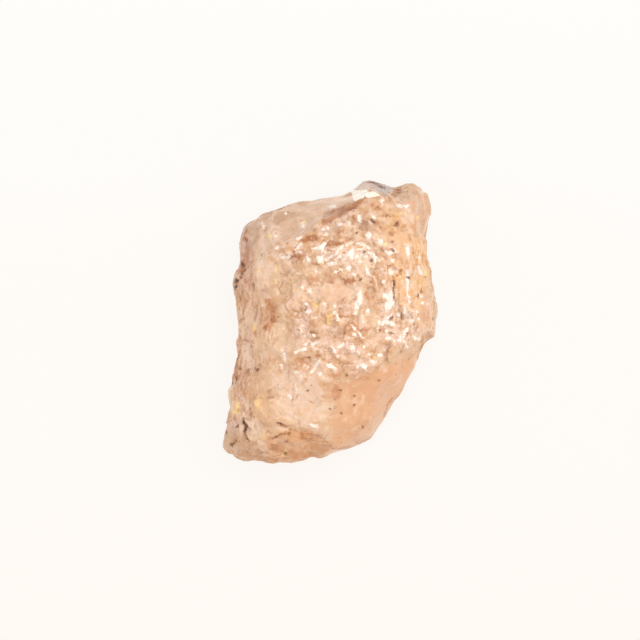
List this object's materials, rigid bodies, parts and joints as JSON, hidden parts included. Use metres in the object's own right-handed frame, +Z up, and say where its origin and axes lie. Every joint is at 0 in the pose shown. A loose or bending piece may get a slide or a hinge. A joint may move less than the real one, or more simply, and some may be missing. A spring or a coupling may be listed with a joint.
{
  "type": "rough morganite crystal",
  "caption": "Uncut peach-pink beryl crystal, broken on every side, lying on its flattest break.",
  "frame": {"origin": "middle of the bounding box, on the surface the stone lies on", "axes": "+Y along the stone towards the end with the grey bump, +X towards the ledged flank, +Z up through the side seen in the picture"},
  "size_m": [0.0198, 0.026, 0.0127],
  "materials": {
    "morganite": "translucent peach-pink beryl with a broken, sparkling skin and faint iron stains"
  },
  "bodies": {
    "root": {"crystal": "morganite"}
  },
  "joints": []
}
